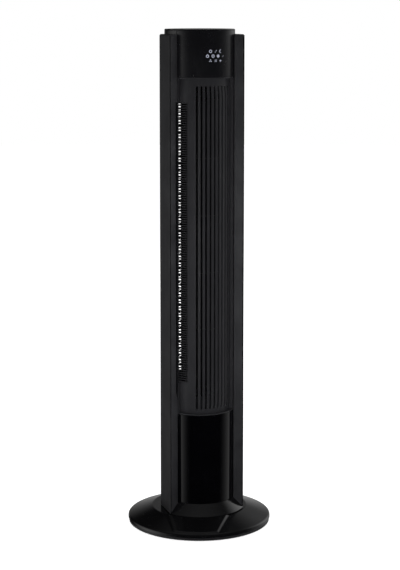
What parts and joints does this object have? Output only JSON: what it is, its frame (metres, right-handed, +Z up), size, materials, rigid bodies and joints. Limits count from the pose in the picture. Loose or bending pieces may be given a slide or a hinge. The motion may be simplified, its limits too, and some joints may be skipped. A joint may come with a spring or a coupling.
{
  "type": "tower fan",
  "caption": "Slim floor-standing tower fan with a slotted front outlet, flat side wings, a touch control head and a swinging column on a round weighted base.",
  "frame": {"origin": "centre of the floor face under the feet, on the swing axis", "axes": "+Z up, the column's front faces -Y at rest, +X to the right as seen by someone facing the front; the base's own front is turned 21 degrees from the column's"},
  "size_m": [0.3, 0.3, 1.04],
  "materials": {
    "body_shell": "satin moulded",
    "gloss_panel": "polished moulded",
    "wing_shell": "satin moulded",
    "grille_black": "fine matte moulded",
    "base_shell": "semi-gloss moulded",
    "base_pan": "fine textured moulded",
    "duct_plastic": "plain moulded",
    "impeller_plastic": "plain moulded",
    "acetal": "natural moulded",
    "foot_rubber": "matte",
    "steel_plate": "rolled",
    "zinc_screw": "zinc plated",
    "ground_steel": "ground",
    "motor_can": "satin painted",
    "oil_bronze": "sintered",
    "circuit_board": "coated laminate",
    "clear_guide": "frosted moulded"
  },
  "bodies": {
    "base": {"base_cover": "base_shell", "base_pan": "base_pan", "rubber_feet": "foot_rubber", "ballast_plate": "steel_plate", "base_screws": "zinc_screw", "pivot_post": "duct_plastic", "pivot_screws": "zinc_screw", "slide_washer": "acetal", "fixed_gear": "acetal", "retaining_ring": "steel_plate", "ring_screws": "zinc_screw"},
    "column": {"turntable": "duct_plastic", "foot_collar": "body_shell", "collar_screws": "zinc_screw", "swing_plate": "steel_plate", "swing_motor": "motor_can", "swing_screws": "zinc_screw", "lower_panel": "gloss_panel", "rear_housing": "body_shell", "housing_screws": "zinc_screw", "left_wing": "wing_shell", "right_wing": "wing_shell", "wing_screws": "zinc_screw", "front_grille": "grille_black", "side_screen": "grille_black", "control_head": "body_shell", "control_board": "circuit_board", "light_guide": "clear_guide", "top_cap": "body_shell", "upper_bush": "oil_bronze", "lower_bulkhead": "duct_plastic", "upper_bulkhead": "duct_plastic", "volute": "duct_plastic", "tongue": "duct_plastic", "blower_motor": "motor_can", "motor_grommets": "foot_rubber", "motor_screws": "zinc_screw", "power_board": "circuit_board", "cord_gland": "foot_rubber"},
    "blower": {"impeller": "impeller_plastic", "hub_coupler": "acetal", "motor_shaft": "ground_steel", "top_pin": "ground_steel"},
    "pinion": {"swing_pinion": "acetal", "pinion_shaft": "ground_steel"}
  },
  "joints": [
    {"name": "swing", "type": "hinge", "parent": "base", "child": "column", "pos_m": [0, 0, 0.036], "axis": [0, 0, 1], "range_deg": [-61, 19]},
    {"name": "blower_spin", "type": "hinge", "parent": "column", "child": "blower", "pos_m": [0, -0.0045, 0.3], "axis": [0, 0, 1], "continuous": true},
    {"name": "pinion_spin", "type": "hinge", "parent": "column", "child": "pinion", "pos_m": [0, 0.0375, 0.05], "axis": [0, 0, 1], "range_deg": [-250, 90]}
  ],
  "couplings": [
    {"joint": "pinion_spin", "follows": "swing", "ratio": 4}
  ]
}
